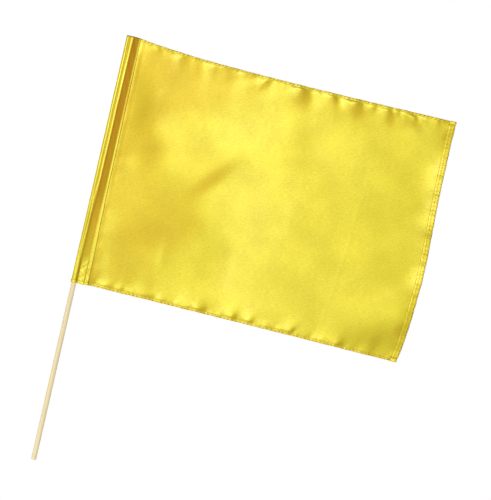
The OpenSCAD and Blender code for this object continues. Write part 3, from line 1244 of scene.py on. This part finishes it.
class HandFlag:
    """The whole flag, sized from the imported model."""

    # Widths of the hems, the way round the sleeve's ply and the half width of the bend, in mm.
    hem: float = 3.4
    fly_hem: float = 8.0
    girth: float = 50.0
    bend: float = 9.0

    def __init__(self) -> None:
        """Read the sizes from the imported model."""
        fly_low, fly_high = box_mm("fly_panel")
        self.seam = Seam(SpunThread().build())
        self.hinge = 0.5 * (box_mm("hoist_panel")[1][0] + fly_low[0])
        self.stick_tip = float(box_mm("stick")[1][2])
        self.lie = ClothLie(
            start=UNDER_FLAP,
            width=float(fly_high[0]),
            bottom=float(box_mm("sleeve_fold")[0][2]),
            top=float(box_mm("sleeve_top_fold")[1][2]),
            crease=self.hinge + 1.0,
            drape=Drape(self.leans()),
            top_gathers=self.top_gathers(),
            bottom_gathers=self.bottom_gathers(),
        )

    @staticmethod
    def leans() -> tuple[Lean, ...]:
        """Patches of the cloth that catch the key light, and patches that lean away from it."""
        catching = (
            Lean(150, 420, 52, 26, 0, 2.2),
            Lean(182, 350, 40, 46, 0, 1.9),
            Lean(192, 290, 28, 36, 0, 1.5),
            Lean(205, 240, 44, 24, 0, 0.9),
            Lean(174, 268, 6, 20, 0, 2.2),
            Lean(380, 424, 12, 18, 0, 4.6),
            Lean(383, 384, 10, 15, 0, 6.4),
            Lean(383, 304, 11, 16, 0, 6.0),
            Lean(47, 443, 8, 9, 0, 2.6),
            Lean(34, 362, 8, 9, 0, 0.8),
            Lean(86, 373, 12, 14, 0, 0.4),
            Lean(24, 280, 9, 18, 0, 1.2),
            Lean(29, 243, 5, 12, 0, 1.6),
            Lean(89, 264, 3.5, 18, 0, 1.2),
            Lean(222, 338, 7, 30, -6, 1.0),
            Lean(360, 283, 26, 6, 35, 1.2),
        )
        shade = (
            Lean(34, 418, 17, 22, 0, -7.4),
            Lean(52, 380, 17, 22, 0, -3.0),
            Lean(55, 335, 44, 24, 0, -2.4),
            Lean(100, 316, 34, 14, 0, -1.3),
            Lean(130, 362, 32, 9, 48, -3.3),
            Lean(108, 290, 42, 24, 0, -2.0),
            Lean(146, 268, 21, 20, 10, -3.0),
            Lean(60, 285, 34, 28, 0, -1.2),
            Lean(48, 474, 44, 20, 0, -1.6),
            Lean(22, 446, 10, 26, 0, -1.4),
            Lean(22, 372, 12, 30, 0, -2.2),
            Lean(118, 302, 22, 20, 0, -1.5),
            Lean(221, 430, 22, 9, -40, -2.8),
            Lean(350, 378, 32, 18, -20, -2.8),
            Lean(388, 354, 8, 9, 0, -6.0),
            Lean(358, 224, 38, 18, 25, -5.2),
            Lean(386, 246, 12, 27, 0, -5.6),
            Lean(386, 472, 12, 18, 0, -5.2),
            Lean(320, 398, 40, 24, 0, -1.0),
            Lean(60, 240, 50, 18, 0, -1.0),
        )
        return catching + shade

    @staticmethod
    def top_gathers() -> tuple[Pucker, ...]:
        """Gathers along the top hem, closer together and longer towards the fly."""
        return (
            Pucker(38, 9, 0.3, 5, -0.4),
            Pucker(65, 10, 0.45, 7, -0.3),
            Pucker(104, 9, 0.3, 7, -0.3),
            Pucker(135, 9, 0.3, 5, -0.3),
            Pucker(166, 15, 0.6, 7, -0.6),
            Pucker(187, 8, 0.3, 5, 0.2),
            Pucker(207, 18, 1.3, 10, 0.0),
            Pucker(226, 8, 0.4, 5, 0.3),
            Pucker(243, 16, 1.0, 7, 0.25),
            Pucker(261, 9, 0.4, 4, 0.4),
            Pucker(271, 18, 1.4, 10, 0.0),
            Pucker(292, 10, 0.5, 6, 0.0),
            Pucker(308, 17, 1.1, 8, 0.2),
            Pucker(319, 7, 0.3, 4, 0.2),
            Pucker(334, 14, 0.9, 8, 0.8),
            Pucker(341, 12, 0.5, 5, 0.0),
            Pucker(354, 8, 0.4, 5, 0.3),
        )

    @staticmethod
    def bottom_gathers() -> tuple[Pucker, ...]:
        """Gathers along the bottom hem: short beside the sleeve, longer in the middle."""
        return (
            Pucker(34, 6, 0.4, 5),
            Pucker(52, 6, 0.35, 5),
            Pucker(67, 6, 0.35, 4),
            Pucker(84, 7, 0.4, 5),
            Pucker(103, 8, 0.4, 6),
            Pucker(120, 6, 0.3, 5),
            Pucker(148, 11, 0.8, 8),
            Pucker(186, 12, 0.7, 6),
            Pucker(206, 14, 0.8, 7, 0.2),
            Pucker(228, 6, 0.3, 5),
            Pucker(244, 6, 0.4, 5),
            Pucker(254, 14, 0.7, 6, 0.4),
            Pucker(295, 7, 0.3, 6),
            Pucker(315, 6, 0.3, 5),
        )

    def dress(
        self, piece: Piece, body: str | None, material: Material | None, slot: str, *nodes: str
    ) -> Piece:
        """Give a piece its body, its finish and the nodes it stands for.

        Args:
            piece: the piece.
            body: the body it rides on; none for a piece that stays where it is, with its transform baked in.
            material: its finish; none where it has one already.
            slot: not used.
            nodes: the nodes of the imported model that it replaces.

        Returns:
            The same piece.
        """
        if material is not None:
            piece.data.materials.clear()
            piece.data.materials.append(material)
        if nodes:
            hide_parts(*nodes)
        if body is None:
            ends = ((self.hinge + side * self.bend) * MM for side in (-1, 1))
            start, end = ((x, 0, 0.35) for x in ends)
            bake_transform(piece)
        else:
            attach(piece, body)
        LOG.info("%s: %d faces, for %s", piece.name, len(piece.data.polygons), ", ".join(nodes) or "no node")
        return piece

    def cloth(self, satin: Material, turned: Material) -> tuple[Piece, ...]:
        """Make the panel and its three hems."""
        lie, height, width = self.lie, self.lie.height, self.lie.width
        panel = self.dress(Panel(lie).build(), None, satin, "satin", "hoist_panel", "fly_panel")
        run = (UNDER_FLAP + 1.4, width)
        top = Hem("top_hem", lie, self.hem, lie.hem_stitch, run, lambda u, s: (u, height - s)).build()
        self.dress(top, None, turned, "satin_turned", "top_hem_hoist", "top_hem_fly")
        bottom = Hem("bottom_hem", lie, self.hem, lie.hem_stitch, run, lambda u, s: (u, s)).build()
        self.dress(bottom, None, turned, "satin_turned", "bottom_hem_hoist", "bottom_hem_fly")
        # At its two ends the fly hem lies on top of the other hems.
        fly = Hem(
            "fly_hem",
            lie,
            self.fly_hem,
            lie.fly_stitch,
            (0.2, height - 0.2),
            lambda u, s: (width - s, u),
            extra_lift=lambda u: 0.9 * smooth((6 - np.minimum(u, height - u)) / 2),
        ).build()
        self.dress(fly, "fly", turned, "satin_turned", "fly_end_hem")
        return panel, top, bottom, fly

    def sleeve(self, satin: Material, turned: Material) -> tuple[Piece, ...]:
        """Make the sleeve, its mouth and its closed end, and the wad inside that."""
        lie = self.lie
        sleeve = Sleeve(lie.bottom, lie.top - 0.4, self.stick_tip + 0.2, UNDER_FLAP, self.girth)
        plies = ("sleeve_fold", "sleeve_front_ply", "sleeve_back_ply", "sleeve_turned_edge")
        wrap = self.dress(sleeve.build(), "hoist", satin, "satin", *plies)
        mouth = self.dress(sleeve.mouth_hem(), "hoist", turned, "satin_turned", "sleeve_mouth_hem")
        closed_end = self.dress(sleeve.top_roll(), "hoist", satin, "satin", "sleeve_top_fold")
        low, high = box_mm("sleeve_end_tuck")
        wad = sleeve.wad(float(high[0]), float(low[2]), float(high[2]))
        self.dress(wad, "sleeve_end", turned, "satin_turned", "sleeve_end_tuck")
        return wrap, mouth, closed_end

    def sew(
        self,
        name: str,
        lines: Sequence[Array],
        body: str | None,
        needle: Sequence[str],
        bobbin: Sequence[str] = (),
    ) -> None:
        """Sew one seam, with the needle thread in front and the bobbin thread behind.

        Args:
            name: the name of both pieces, with a gap for the kind of thread.
            lines: points of the seam on the front and on the back of the cloth.
            body: the body it rides on; none for seams that stay where they are.
            needle: the nodes that the needle thread stands for.
            bobbin: the nodes that the bobbin thread stands for.
        """
        for kind, face, line, nodes in zip(("needle", "bobbin"), Face, lines, (needle, bobbin)):
            self.dress(self.seam.build(name.format(kind), line, face), body, None, "thread", *nodes)

    def stitching(self) -> None:
        """Sew the three hems and the sleeve."""
        lie, gap = self.lie, 1.6

        def on_cloth(a: Array | float, b: Array | float) -> list[Array]:
            """A seam on both faces of the cloth."""
            a, b = (np.array(c) for c in np.broadcast_arrays(a, b))
            return [lie.place(a, b, forward) for forward in (0.62, -0.45)]

        a = np.arange(16.0, lie.width - 0.5, gap)
        b = np.arange(1.0, lie.height - 1.0, gap)
        nodes = ["top_thread_hoist", "top_thread_fly"]
        self.sew("top_hem_{}_thread", on_cloth(a, lie.height - lie.hem_stitch), None, nodes)
        nodes = ["bottom_thread_hoist", "bottom_thread_fly"]
        self.sew("bottom_hem_{}_thread", on_cloth(a, lie.hem_stitch), None, nodes)
        self.sew("fly_hem_{}_thread", on_cloth(lie.width - lie.fly_stitch, b), "fly", ["fly_end_thread"])
        z = np.arange(lie.bottom + 1.0, lie.top - 1.5, gap)
        x = np.full_like(z, UNDER_FLAP + 0.45)
        lines = [np.stack([x, np.full_like(z, y), z], -1) for y in (-0.9, 0.42)]
        self.sew("sleeve_{}_stitches", lines, "hoist", ["sleeve_needle_thread"], ["sleeve_bobbin_thread"])

    def build(self) -> None:
        """Make every piece."""
        satin = Satin().build()
        # The turned satin's painted shade colour is dark brown, for the painted shadow at the stitches along
        # the hems' edges.
        turned = Satin(name="turned_satin", ground="d6c010", light="e4d026", painted_shade_amber="6e4a06").build()
        self.dress(Stick(self.stick_tip, SandedBirch().build()).build(), "stick", None, "wood", "stick")
        panel, *hems = self.cloth(satin, turned)
        wrap, *ends = self.sleeve(satin, turned)
        self.stitching()


def main() -> None:
    """Build the studio and the flag, and report each piece."""
    logging.basicConfig(level=logging.INFO, format="%(name)s: %(message)s")
    Studio().build()
    HandFlag().build()


if __name__ == "__main__":
    main()
